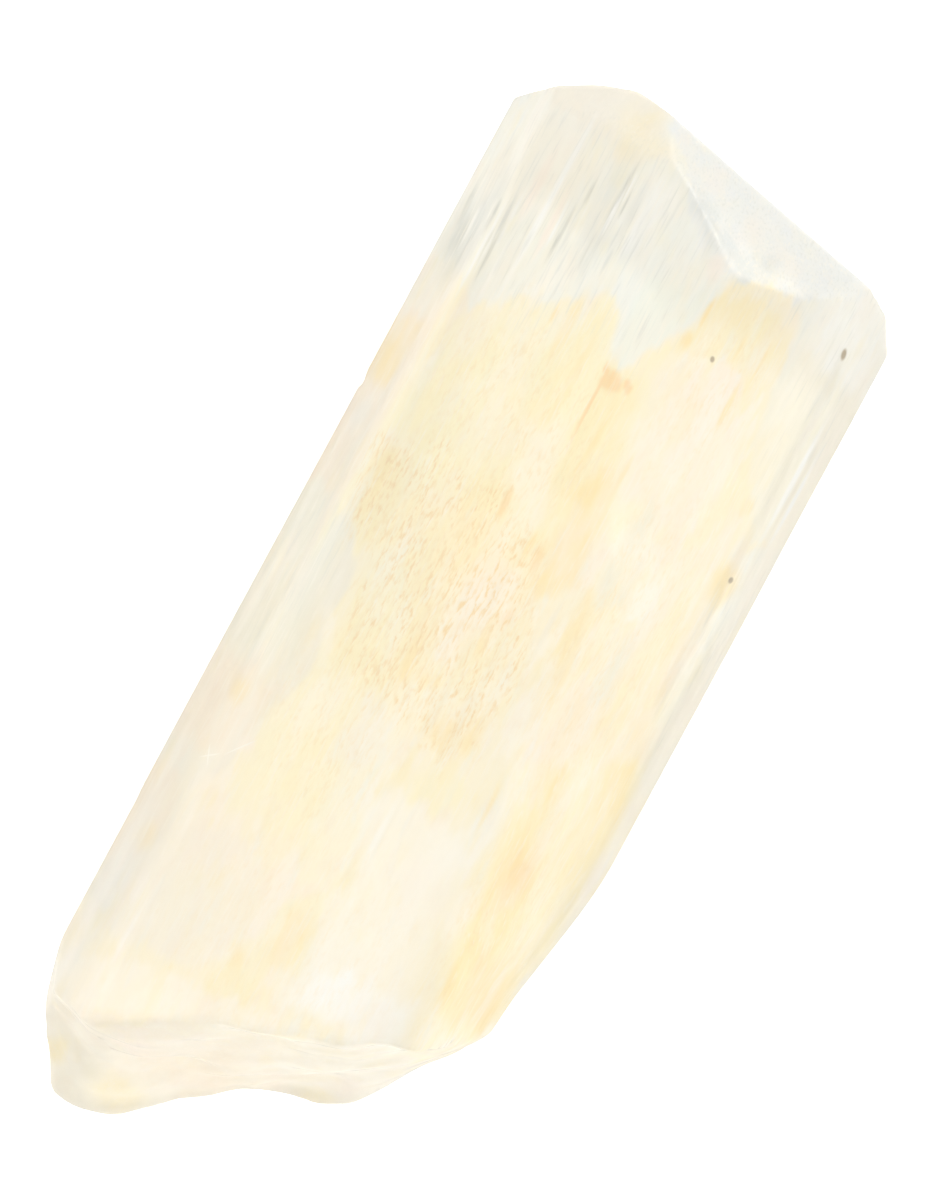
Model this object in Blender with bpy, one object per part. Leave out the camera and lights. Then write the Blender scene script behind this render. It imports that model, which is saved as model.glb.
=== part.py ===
"""Rough danburite crystal: one natural solid that lies on a prism face, its pointed end towards +X.

The body is a prism with stepped, striated faces, lofted along the crystal's long axis, which is +X.
Its pointed end is cut by the flat faces of a chisel-shaped termination. Its other end is the uneven
break where it came off its matrix. +Z is up, and the origin is the bottom centre of its box.
"""

import math

import bmesh
import bpy
import numpy as np
from mathutils import Vector, geometry, noise

# Driving dimensions, in millimetres: x along the crystal, y across it, z up.
MM = 0.001
TIP_X = 18.0  # where the long edges below have their tip places
BASE_X = -14.0  # where they have their base places
LOFT_END_X = 23.0  # the prism is made to here, and its termination cuts it shorter
STATION_GAP = 0.8

# The prism's long edges, from the left flank over the top and round underneath: (y, z) at the tip
# and at the base.
EDGES = {
    "left_edge": ((8.30, 5.3), (8.34, 4.9)),
    "left_shoulder": ((6.90, 8.30), (5.45, 8.19)),
    "crest": ((-1.90, 10.66), (-1.90, 10.16)),
    "right_shoulder": ((-4.35, 9.4), (-4.60, 9.1)),
    "right_edge": ((-8.32, 5.3), (-8.36, 5.1)),
    "right_keel": ((-5.60, 0.0), (-5.20, 0.0)),
    "left_keel": ((5.50, 0.0), (5.00, 0.0)),
}
EDGE_NAMES = tuple(EDGES)

# The two upper edges jog sideways as they run down the crystal: x of the jog, and its (y, z).
JOGS = {
    "crest": ((6.2, -1.20, 0.32), (-3.6, -0.90, 0.24), (-9.2, -0.95, 0.25)),
    "right_shoulder": ((9.4, -0.30, 0.05), (-1.8, -0.55, 0.10), (-7.6, -0.65, 0.10)),
}
JOG_LENGTH = 1.6

# Growth ledges on the face that starts at each edge: share of the way across the face, height of
# the step, and the stretch of x that it runs along.
LEDGES = {
    "left_edge": ((0.22, 0.10, -20.0, 7.0), (0.55, -0.08, -6.0, 23.0), (0.80, 0.09, 2.0, 15.5)),
    "left_shoulder": (
        (0.07, 0.10, -20.0, 9.5),
        (0.16, -0.09, 3.0, 23.0),
        (0.27, 0.08, -12.0, 17.0),
        (0.38, -0.10, -4.0, 14.0),
        (0.50, 0.12, -21.0, 11.0),
        (0.61, -0.08, 5.0, 23.0),
        (0.74, 0.13, -15.0, 13.0),
        (0.88, 0.10, -9.0, 8.0),
    ),
    "crest": ((0.30, 0.12, -16.0, 12.5), (0.66, -0.10, -3.0, 23.0)),
    "right_shoulder": (
        (0.18, 0.10, -14.0, 23.0),
        (0.42, -0.09, -8.0, 9.0),
        (0.63, 0.12, 1.0, 16.0),
        (0.84, 0.09, -13.0, 5.0),
    ),
    "right_edge": ((0.15, 0.12, -14.0, 14.0), (0.40, 0.12, -5.0, 23.0), (0.70, -0.10, -16.0, 10.0)),
    "right_keel": ((0.24, -0.16, -9.0, 7.0), (0.41, 0.16, -9.0, 7.0)),
    "left_keel": ((0.20, 0.12, -16.0, 12.0), (0.52, -0.11, -4.0, 23.0), (0.78, 0.12, -19.0, 6.0)),
}
LEDGE_SLOPE = 0.07  # width of a step's riser, across the face
LEDGE_FADE = 1.3  # length over which a step dies out at its ends

# The right flank is worn in as it nears the break.
WEAR_START_X = -4.0
WEAR_END_X = -12.0
WEAR_DEPTH = 1.0
WEAR_START_Y = -5.0
WEAR_END_Y = -8.0

# Corners of the termination, and the three corners that set the plane of each of its faces.
APEX = (20.75, 2.94, 8.61)
CHISEL_END = (18.72, -6.50, 7.00)
CREST_FOOT = (16.72, -2.00, 10.45)
CAP_RIGHT = (18.97, 1.55, 9.75)
CAP_LEFT = (19.03, 6.00, 8.56)
BEVEL_TOP = (19.00, 1.90, 9.66)
BEVEL_FOOT = (15.44, -1.60, 10.54)
LEFT_PEAK = (20.96, 4.25, 8.14)
LEFT_TURN = (20.49, 5.66, 7.96)
LEFT_CORNER = (18.80, 8.23, 5.40)
RIGHT_TURN = (18.17, -7.54, 6.00)
RIGHT_CORNER = (17.25, -8.02, 5.40)
RIGHT_NICK = (17.90, -6.38, 7.30)
TERMINATION = {
    "front_dome": (APEX, CHISEL_END, CREST_FOOT),
    "front_bevel": (BEVEL_TOP, CREST_FOOT, BEVEL_FOOT),
    "cap": (APEX, CAP_RIGHT, CAP_LEFT),
    "back_face": (APEX, CHISEL_END, (19.20, -2.0, 4.0)),
    "back_dome": ((20.20, 3.0, 5.2), (18.20, -6.5, 4.3), (15.0, -1.0, 0.0)),
    "left_bevel": (LEFT_PEAK, LEFT_TURN, (20.35, 4.7, 3.0)),
    "left_dome": (LEFT_TURN, LEFT_CORNER, (19.2, 6.9, 2.0)),
    "right_bevel": (CHISEL_END, RIGHT_TURN, (17.5, -6.6, 2.5)),
    "right_dome": (RIGHT_TURN, RIGHT_CORNER, (15.6, -6.8, 1.5)),
    "right_corner": (RIGHT_NICK, (16.35, -8.35, 5.30), (18.52, -7.16, 6.30)),
}
INSIDE = Vector((0.0, 0.0, 5.0))

# The break, across the crystal: x where it meets the upper faces, and x of its furthest reach.
BREAK_Y = (-8.4, -7.25, -5.7, -5.0, -4.0, -1.9, -0.2, 1.6, 3.5, 4.7, 5.9, 7.6, 8.4)
BREAK_UPPER_X = (-9.0, -11.7, -13.3, -13.5, -13.7, -14.3, -14.9, -15.7, -16.7, -17.3, -17.9, -18.6, -16.1)
BREAK_REACH_X = (-9.3, -12.6, -14.4, -15.8, -17.05, -17.8, -18.6, -19.5, -21.5, -21.9, -21.9, -19.8, -16.8)
BREAK_REACH_Z = 1.9
BREAK_UNDERCUT = 1.1
STAIRS = 5  # ledges down the break, and how they slant across it
STAIR_SLANT = 0.11
STAIR_TREAD = 0.55
LUMP_SIZE = 3.1
LUMP_HEIGHT = 0.8
LUMP_SINK = 0.28  # sets the lumps back, so that they stay near the break's reach
HACKLE_ACROSS = 1.57  # size of the small roughness, across the crystal and up it
HACKLE_UP = 0.85
HACKLE_HEIGHT = 0.22
BREAK_GRAIN = 0.7  # spacing of the break's points
BREAK_JITTER = 0.22
SCATTER_SEED = 11

RIM_PASSES = 6  # tries at where the break meets the sides, each closer than the last
CUT_GAP = 0.0001
INNER_TRIANGLES = 1  # the triangulator's mode that keeps only what is inside the outline
MERGE_GAP = 0.02


def mix(a, b, share):
    return a + (b - a) * share


def smooth(low, high, value):
    """0 at low, 1 at high, level beyond them, and a smooth rise between."""
    share = min(1.0, max(0.0, (value - low) / (high - low)))
    return share * share * (3.0 - 2.0 * share)


def edge_point(index, x):
    """(y, z) of one of the prism's long edges at x."""
    name = EDGE_NAMES[index % len(EDGE_NAMES)]
    tip, base = EDGES[name]
    point = Vector(base).lerp(Vector(tip), (x - BASE_X) / (TIP_X - BASE_X))
    for place, sideways, upward in JOGS.get(name, ()):
        jog = smooth(place + JOG_LENGTH / 2, place - JOG_LENGTH / 2, x)
        point += Vector((sideways, upward)) * jog
    return point


def ledge_height(ledges, across, x):
    """Height of a face's ledges over its flat. It is nought along both of the face's edges."""
    total = 0.0
    for place, height, start, end in ledges:
        run = smooth(start, start + LEDGE_FADE, x) * smooth(end, end - LEDGE_FADE, x)
        total += height * run * (float(across > place) - across)
    return total


def ring_places():
    """Where the points of a cross-section lie: (face, share of the way across it)."""
    places = []
    for index, name in enumerate(EDGE_NAMES):
        width = (edge_point(index + 1, TIP_X) - edge_point(index, TIP_X)).length
        places.append((index, 0.0))
        for place, *_ in LEDGES[name]:
            places.append((index, place - LEDGE_SLOPE / width))
            places.append((index, place + LEDGE_SLOPE / width))
    return places


def surface_point(index, across, x):
    """A point of the prism's side at x, on the face that starts at the edge of that index."""
    start = edge_point(index, x)
    end = edge_point(index + 1, x)
    run = (end - start).normalized()
    height = ledge_height(LEDGES[EDGE_NAMES[index]], across, x)
    point = start.lerp(end, across) + Vector((run.y, -run.x)) * height
    wear = smooth(WEAR_START_X, WEAR_END_X, x) * smooth(WEAR_START_Y, WEAR_END_Y, point.x)
    return Vector((x, point.x + WEAR_DEPTH * wear, point.y))


def upper_height(y):
    """Height of the prism's upper faces near the break."""
    upper = [edge_point(index, BASE_X) for index in range(EDGE_NAMES.index("right_edge"), -1, -1)]
    return float(np.interp(y, [point.x for point in upper], [point.y for point in upper]))


def stair(fall, y):
    """A fall of 0 to 1 taken in slanting ledges, each a steep riser and a flatter tread."""
    level = fall * STAIRS + y * STAIR_SLANT + noise.noise(Vector((y / LUMP_SIZE, fall, 6.0)))
    tread = math.floor(level) + smooth(STAIR_TREAD, 1.0, level - math.floor(level))
    return fall + (tread - level) / STAIRS


def break_x(y, z):
    """x of the break's surface: it slopes out from the upper faces to its reach, then back under."""
    fall = (upper_height(y) - z) / (upper_height(y) - BREAK_REACH_Z)
    upper = float(np.interp(y, BREAK_Y, BREAK_UPPER_X))
    reach = float(np.interp(y, BREAK_Y, BREAK_REACH_X))
    x = mix(upper, reach, min(1.0, max(0.0, stair(fall, y))))
    x += BREAK_UNDERCUT * max(0.0, 1.0 - z / BREAK_REACH_Z)
    lumps = noise.noise(Vector((y, z, 3.0)) / LUMP_SIZE)
    hackles = noise.noise(Vector((y / HACKLE_ACROSS, z / HACKLE_UP, 8.2)))
    return x + LUMP_SINK + LUMP_HEIGHT * lumps + HACKLE_HEIGHT * hackles


def break_rim(place):
    """The point where the break meets the prism's side at a place of the cross-section."""
    x = BASE_X
    for _ in range(RIM_PASSES):
        point = surface_point(*place, x)
        x = break_x(point.y, point.z)
    return surface_point(*place, x)


def add_sides(bm, places):
    """The prism's side, from the break's rim to past the tip. Returns its first and last rings."""
    rim = [break_rim(place) for place in places]
    count = round((LOFT_END_X - BASE_X) / STATION_GAP)
    rings = []
    for station in range(count + 1):
        ring = []
        for place, start in zip(places, rim):
            point = surface_point(*place, mix(start.x, LOFT_END_X, station / count))
            ring.append(bm.verts.new(point))
        rings.append(ring)
    for ring, following in zip(rings, rings[1:]):
        for index, vert in enumerate(ring):
            bm.faces.new((vert, ring[index - 1], following[index - 1], following[index]))
    return rings[0], rings[-1]


def rim_distance(spot, outline):
    """Distance from a spot to the nearest side of a closed outline."""
    gaps = []
    for start, end in zip(outline, outline[1:] + outline[:1]):
        _, share = geometry.intersect_point_line(spot, start, end)
        gaps.append((start.lerp(end, min(1.0, max(0.0, share))) - spot).length)
    return min(gaps)


def break_spots(outline):
    """The outline's own points, then points scattered clear of it, all as (y, z)."""
    scatter = np.random.default_rng(SCATTER_SEED)
    spots = list(outline)
    for y in np.arange(min(BREAK_Y), max(BREAK_Y), BREAK_GRAIN):
        for z in np.arange(0.0, max(point.y for point in outline), BREAK_GRAIN):
            spot = Vector((y, z)) + Vector(scatter.uniform(-BREAK_JITTER, BREAK_JITTER, 2))
            if rim_distance(spot, outline) > BREAK_GRAIN / 2:
                spots.append(spot)
    return spots


def add_break(bm, rim):
    """The broken end: scattered points inside its rim, joined up as an uneven faceted surface."""
    outline = [Vector((vert.co.y, vert.co.z)) for vert in rim]
    places, _, triangles, origins, _, _ = geometry.delaunay_2d_cdt(
        break_spots(outline), [], [list(range(len(outline)))], INNER_TRIANGLES, CUT_GAP
    )
    verts = {}
    for index in sorted({index for triangle in triangles for index in triangle}):
        y, z = places[index]
        origin = min(origins[index])
        verts[index] = rim[origin] if origin < len(rim) else bm.verts.new((break_x(y, z), y, z))
    for triangle in triangles:
        bm.faces.new([verts[index] for index in triangle])


def cut_termination(bm):
    """Each face of the termination cuts the prism and closes it again with one flat face."""
    for corners in TERMINATION.values():
        a, b, c = (Vector(corner) for corner in corners)
        normal = (b - a).cross(c - a).normalized()
        if normal.dot(a - INSIDE) < 0.0:
            normal.negate()
        everything = bm.verts[:] + bm.edges[:] + bm.faces[:]
        bmesh.ops.bisect_plane(
            bm, geom=everything, dist=CUT_GAP, plane_co=a, plane_no=normal, clear_outer=True
        )
        bmesh.ops.edgeloop_fill(bm, edges=[edge for edge in bm.edges if edge.is_boundary])
    bmesh.ops.remove_doubles(bm, verts=bm.verts, dist=MERGE_GAP)


def centre(bm):
    """The mesh moved so that its box stands on z = 0, centred on x = y = 0."""
    low = [min(vert.co[axis] for vert in bm.verts) for axis in range(3)]
    high = [max(vert.co[axis] for vert in bm.verts) for axis in range(3)]
    shift = Vector(((low[0] + high[0]) / -2, (low[1] + high[1]) / -2, -low[2]))
    bmesh.ops.translate(bm, verts=bm.verts, vec=shift)


def crystal_material():
    material = bpy.data.materials.new("danburite")
    material.use_nodes = True
    shader = material.node_tree.nodes["Principled BSDF"]
    shader.inputs["Base Color"].default_value = (0.97, 0.89, 0.70, 1.0)
    shader.inputs["Roughness"].default_value = 0.25
    shader.inputs["Metallic"].default_value = 0.0
    shader.inputs["IOR"].default_value = 1.63
    shader.inputs["Transmission Weight"].default_value = 0.5
    return material


def make_crystal():
    bm = bmesh.new()
    rim, far_ring = add_sides(bm, ring_places())
    bm.faces.new(far_ring)
    add_break(bm, rim)
    cut_termination(bm)
    centre(bm)
    bmesh.ops.recalc_face_normals(bm, faces=bm.faces)
    bmesh.ops.scale(bm, vec=(MM, MM, MM), verts=bm.verts)
    mesh = bpy.data.meshes.new("danburite_crystal")
    bm.to_mesh(mesh)
    bm.free()
    mesh.materials.append(crystal_material())
    crystal = bpy.data.objects.new("danburite_crystal", mesh)
    bpy.context.scene.collection.objects.link(crystal)


for leftover in list(bpy.data.objects):
    bpy.data.objects.remove(leftover, do_unlink=True)
make_crystal()
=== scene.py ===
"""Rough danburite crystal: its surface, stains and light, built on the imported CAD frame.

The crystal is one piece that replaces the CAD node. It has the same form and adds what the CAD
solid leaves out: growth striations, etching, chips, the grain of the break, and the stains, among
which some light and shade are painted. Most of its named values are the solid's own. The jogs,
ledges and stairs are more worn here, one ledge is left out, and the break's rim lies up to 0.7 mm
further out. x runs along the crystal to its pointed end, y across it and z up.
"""

import itertools
import math

import bmesh
import bpy
import numpy as np
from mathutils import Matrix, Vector, geometry, noise


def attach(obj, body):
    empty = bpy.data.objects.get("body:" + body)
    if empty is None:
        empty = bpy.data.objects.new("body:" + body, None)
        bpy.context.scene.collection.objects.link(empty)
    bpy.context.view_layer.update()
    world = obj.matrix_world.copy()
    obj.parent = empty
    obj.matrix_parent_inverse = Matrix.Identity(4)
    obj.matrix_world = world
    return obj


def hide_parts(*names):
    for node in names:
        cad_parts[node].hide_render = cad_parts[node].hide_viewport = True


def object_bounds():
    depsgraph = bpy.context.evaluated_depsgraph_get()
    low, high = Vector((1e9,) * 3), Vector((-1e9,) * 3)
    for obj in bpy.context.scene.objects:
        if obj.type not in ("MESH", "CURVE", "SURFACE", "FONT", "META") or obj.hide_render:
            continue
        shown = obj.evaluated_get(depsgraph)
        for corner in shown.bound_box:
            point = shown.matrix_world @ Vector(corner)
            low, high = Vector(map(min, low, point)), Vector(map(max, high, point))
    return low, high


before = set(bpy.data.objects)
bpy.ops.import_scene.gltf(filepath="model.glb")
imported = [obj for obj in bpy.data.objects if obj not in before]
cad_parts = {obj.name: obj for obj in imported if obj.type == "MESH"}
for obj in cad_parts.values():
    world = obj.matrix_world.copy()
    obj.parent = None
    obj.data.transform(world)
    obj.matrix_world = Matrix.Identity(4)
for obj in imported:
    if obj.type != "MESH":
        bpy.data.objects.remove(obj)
cad_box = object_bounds()

# --- The crystal's form, in millimetres ---

MM = 0.001
CENTRE_SHIFT = (0.283, 0.003, 0.0)  # moves the finished crystal as its CAD solid is moved, to centre it
TIP_X = 18.0  # where the long edges below have their tip places
BASE_X = -14.0  # where they have their base places
LOFT_END_X = 22.0  # the prism is made to here, and its termination cuts it shorter

# The prism's long edges, from the left flank over the top and round underneath: (y, z) at the tip
# and at the base.
EDGES = {
    "left_edge": ((8.3, 5.3), (8.34, 4.9)),
    "left_shoulder": ((6.9, 8.3), (5.45, 8.19)),
    "crest": ((-1.9, 10.66), (-1.9, 10.16)),
    "right_shoulder": ((-4.35, 9.4), (-4.6, 9.1)),
    "right_edge": ((-8.32, 5.3), (-8.36, 5.1)),
    "right_keel": ((-5.6, 0), (-5.2, 0)),
    "left_keel": ((5.5, 0), (5, 0)),
}
EDGE_NAMES = tuple(EDGES)
# Spacing of the mesh across the face that starts at each of these edges, and along the crystal.
COLUMN_GAPS = (0.085, 0.062, 0.066, 0.068, 0.22, 0.32, 0.22)
STATION_GAP = 0.185

# The two upper edges jog sideways as they run down the crystal: x of the jog, and its (y, z).
JOGS = {
    "crest": ((6.2, -1.2, 0.32), (-3.6, -0.9, 0.24), (-9.2, -0.95, 0.25)),
    "right_shoulder": ((9.4, -0.3, 0.05), (-1.8, -0.55, 0.1), (-7.6, -0.65, 0.1)),
}
JOG_LENGTH = 3.4

# Growth ledges on the face that starts at each edge: share of the way across the face, height of
# the step, and the stretch of x that it runs along.
LEDGES = {
    "left_edge": ((0.22, 0.1, -20, 7), (0.55, -0.08, -6, 23)),
    "left_shoulder": (
        (0.07, 0.1, -20, 9.5),
        (0.16, -0.09, 3, 23),
        (0.27, 0.08, -12, 17),
        (0.38, -0.1, -4, 14),
        (0.5, 0.12, -21, 11),
        (0.61, -0.08, 5, 23),
        (0.74, 0.13, -15, 13),
        (0.88, 0.1, -9, 8),
    ),
    "crest": ((0.3, 0.12, -16, 12.5), (0.66, -0.1, -3, 23)),
    "right_shoulder": (
        (0.18, 0.1, -14, 23),
        (0.42, -0.09, -8, 9),
        (0.63, 0.12, 1, 16),
        (0.84, 0.09, -13, 5),
    ),
    "right_edge": ((0.15, 0.12, -14, 14), (0.4, 0.12, -5, 23), (0.7, -0.1, -16, 10)),
    "right_keel": ((0.24, -0.16, -9, 7), (0.41, 0.16, -9, 7)),
    "left_keel": ((0.2, 0.12, -16, 12), (0.52, -0.11, -4, 23), (0.78, 0.12, -19, 6)),
}
LEDGE_SLOPE = 0.32  # half the width of a step's worn riser, across the face
LEDGE_FADE = 1.3  # length over which a step dies out at its ends
LEDGE_WANDER = 0.07  # how far a step strays sideways as it runs along

# Striations: fine growth steps, scattered over each face.
STRIAE_PER_MM = 5.0
STRIA_HEIGHT = (0.004, 0.016)
STRIA_LENGTH = (2.5, 16.0)
STRIA_SLOPE = 0.05
STRIA_SEED = 5

# The right flank is worn in as it nears the break.
WEAR_START_X = -4.0
WEAR_END_X = -12.0
WEAR_DEPTH = 1.0
WEAR_START_Y = -5.0
WEAR_END_Y = -8.0

# Low relief of the faces: depth, and size of its bumps along x and across.
SWELL = (0.050, 5.0, 1.6)
ETCH = (0.034, 0.75, 0.20)  # pits where the surface is etched
GRAIN = (0.010, 0.34, 0.13)
EDGE_CALM = 0.22  # the relief dies out this near to a long edge
EDGE_ROUNDING = (0.08, 0.45, 1.3, 0.8, 0.08, 0.3, 0.3)  # how far each long edge is worn, to its sides
ROUNDING_PASSES = 40
BASE_ROUNDING_PASSES = 160  # further passes, which fade in over the stretch of x below
WORN_START_X = -3.0
WORN_END_X = -9.0

# Corners of the termination, and the three corners that set the plane of each of its faces.
APEX = (20.75, 2.94, 8.61)
CHISEL_END = (18.72, -6.50, 7.00)
CREST_FOOT = (16.72, -2.00, 10.45)
CAP_RIGHT = (18.97, 1.55, 9.75)
CAP_LEFT = (19.03, 6.00, 8.56)
BEVEL_TOP = (19.00, 1.90, 9.66)
BEVEL_FOOT = (15.44, -1.60, 10.54)
LEFT_PEAK = (20.96, 4.25, 8.14)
LEFT_TURN = (20.49, 5.66, 7.96)
LEFT_CORNER = (18.80, 8.23, 5.40)
RIGHT_TURN = (18.17, -7.54, 6.00)
RIGHT_CORNER = (17.25, -8.02, 5.40)
RIGHT_NICK = (17.90, -6.38, 7.30)
TERMINATION = {
    "front_dome": (APEX, CHISEL_END, CREST_FOOT),
    "front_bevel": (BEVEL_TOP, CREST_FOOT, BEVEL_FOOT),
    "cap": (APEX, CAP_RIGHT, CAP_LEFT),
    "back_face": (APEX, CHISEL_END, (19.2, -2, 4)),
    "back_dome": ((20.2, 3, 5.2), (18.2, -6.5, 4.3), (15, -1, 0)),
    "left_bevel": (LEFT_PEAK, LEFT_TURN, (20.35, 4.7, 3)),
    "left_dome": (LEFT_TURN, LEFT_CORNER, (19.2, 6.9, 2)),
    "right_bevel": (CHISEL_END, RIGHT_TURN, (17.5, -6.6, 2.5)),
    "right_dome": (RIGHT_TURN, RIGHT_CORNER, (15.6, -6.8, 1.5)),
    "right_corner": (RIGHT_NICK, (16.35, -8.35, 5.3), (18.52, -7.16, 6.3)),
}
INSIDE = Vector((0.0, 0.0, 5.0))
FACET_RELIEF = {"cap": 0.060, "front_dome": 0.016, "front_bevel": 0.020}
OTHER_FACET_RELIEF = 0.035
FACET_GRAIN = 0.15  # spacing of the points that a face of the termination gets

# The break, across the crystal: x where it meets the upper faces, and x of its furthest reach.
BREAK_Y = (-8.4, -7.25, -5.7, -5.0, -4.0, -1.9, -0.2, 1.6, 3.5, 4.7, 5.9, 7.6, 8.4)
BREAK_UPPER_X = (-9.0, -11.8, -13.5, -13.8, -14.2, -14.9, -15.6, -16.3, -17.0, -17.4, -17.9, -18.6, -16.1)
BREAK_REACH_X = (-9.3, -12.6, -14.4, -15.7, -16.8, -17.6, -18.5, -19.5, -21.5, -21.9, -21.9, -19.8, -16.8)
BREAK_REACH_Z = 1.9
BREAK_UNDERCUT = 1.1
STAIRS = 5  # ledges down the break, and how they slant across it
STAIR_SLANT = 0.11
STAIR_TREAD = 0.55
STAIR_WORN = 0.5  # how much of the ledges' height is left
LUMP_SIZE = 3.1
LUMP_HEIGHT = 0.8
LUMP_SINK = 0.28  # sets the lumps back, so that they stay near the break's reach
HACKLE_ACROSS = 1.57  # size of the small roughness, across the crystal and up it
HACKLE_UP = 0.85
HACKLE_HEIGHT = 0.22
BREAK_GRAIN = 0.145  # spacing of the break's points
BREAK_JITTER = 0.04
OUTLINE_CLEAR = 0.6  # share of that spacing that is left free along an outline
SCATTER_SEED = 11
CHIP_ACROSS = 0.62  # the break's fine conchoidal chipping, and the grit on it
CHIP_UP = 0.30
CHIP_DEPTH = 0.09
GRIT_SIZE = 0.19
GRIT_DEPTH = 0.035

RIM_PASSES = 6  # tries at where the break meets the sides, each closer than the last
CUT_GAP = 0.0001
INNER_TRIANGLES = 1  # the triangulator's mode that keeps only what is inside the outline
MERGE_GAP = 0.02

# Small scoops out of the edges: centre of the scoop and its radius.
SCOOPS = (
    ((7.05, 8.62, 5.2), 0.48),
    ((-1, -8.78, 5.1), 0.55),
    ((-5.9, 8.66, 4.9), 0.36),
    ((12.9, -8.6, 5.3), 0.34),
    ((20.95, 2.9, 8.95), 0.4),
    ((19.8, -1.6, 8.35), 0.34),
    ((16.9, -2.1, 10.75), 0.36),
    ((4.6, -2.4, 11.25), 0.42),
    ((-17.7, 5.3, 8.75), 0.55),
    ((-15.4, 0.9, 10), 0.5),
    ((3.1, -5.75, -0.25), 0.55),
    ((-7.3, 5.35, -0.3), 0.6),
    ((11.4, 5.7, -0.3), 0.5),
)
WORN_ANGLE = math.radians(19.0)  # edges sharper than this are worn round
WEAR_PASSES = 2
RIM_WEAR_PASSES = 6  # further passes round the break, where more of the surface is worn
RIM_REACH = 2
RIM_START_X = -10.0
SHARP_ANGLE = math.radians(38.0)  # edges sharper than this shade as creases

# --- Stains, clear zones and some painted light and shade, in millimetres over the crystal seen from above ---

# Surface colours, 8-bit sRGB as they look under the scene's light.
COLOURS = {
    "cream": (254, 244, 214),
    "pale": (255, 248, 229),
    "white": (255, 253, 242),
    "grey": (241, 242, 235),
    "olive": (246, 245, 231),
    "sage": (243, 238, 216),
    "green": (245, 246, 230),
    # Painted shade for the tip's grey facet, which the key light brightens.
    "painted_shade_grey": (226, 228, 219),
    "smoke": (245, 238, 218),
    "dark": (224, 224, 212),
    "shade": (204, 204, 190),
    "tan": (251, 242, 222),
    "brown": (250, 235, 210),
    "pink": (254, 242, 224),
    "yellow": (254, 244, 204),
    # The lobe's yellow stain, laid lighter as painted light.
    "straw_and_painted_light": (255, 249, 229),
    "amber": (254, 240, 194),
    "orange": (254, 232, 176),
    "rust": (251, 215, 160),
    "fleck": (247, 222, 174),
}
STAIN_DEPTH = 1.25  # a stain is laid on deeper than it looks, because light also passes under it
MOTTLES = (  # colour, size of its clouds along and across, how rare they are, how strong
    ("pale", 2, 0.7, 0, 0.55),
    ("pink", 2.6, 1.1, 0.1, 0.4),
    ("brown", 1.1, 0.5, 0.2, 0.3),
    ("amber", 1.8, 0.6, 0.15, 0.4),
    ("olive", 1.6, 0.35, 0.2, 0.35),
)
TOP_MOTTLE = 0.45  # how strongly the clouds are laid once more over the stains
WASH_LEVEL = 0.85  # how evenly a stain is laid on: its level, how that varies, and over what size
WASH_VARIES = 0.35
WASH_SIZE = (1.2, 0.4)
# How far the borders of stains and stretches stray along and across the crystal, and a seed.
ZONE_FRAY = (0.55, 0.30, 61)
CLEAR_FRAY = (0.60, 0.25, 63)
ETCH_FRAY = (0.80, 0.40, 65)
PATCH_FRAY = (0.25, 0.12, 77)
STREAK_FRAY = (0.35, 0.03, 81)
STREAK_EDGE = 0.6  # softness of the edge of a streak or an etched stretch, as a share of its reach
CLEAR_EDGE = 0.3  # and of a clear stretch
STIPPLED_EDGE = 0.5  # softness of the stippled stain's edge, in millimetres
UNDERSIDE_STREAK = (6.5, 1.7)  # size of its streaks, along and across
UNDERSIDE_TOP = 5.4  # stains seen from above fade out below this height, into streaks of their own
UNDERSIDE_LOW = 3.6
# Painted shade: the underside's colour is laid darker by this share, to offset the floor's strong light.
UNDERSIDE_PAINTED_SHADE = 0.90  # how much darker the underside is, which the floor lights strongly
BREAK_STAINED = 5.2  # how much further down the break is stained as from above, and from which x on
BREAK_STAINED_X = (-14.0, -16.5)

STIPPLED = (  # border of the stippled stain in the middle
    (-3.4, 0.2), (-3, 1), (-2.9, 1.8), (-2.7, 2.8), (-2.2, 4.2), (0.4, 4.6), (1.6, 4.8),
    (1.8, 5.4), (2.2, 6), (3.2, 6.7), (4.8, 6.7), (6, 6), (6.3, 4.5), (6, 3),
    (6.2, 1.6), (5.4, 1.1), (5.2, 0.1), (5, -0.7), (3, -0.9), (1.5, -1.6), (0, -2.2),
    (-1.5, -1.9), (-3, -1.8), (-3.6, -0.9),
)
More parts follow.
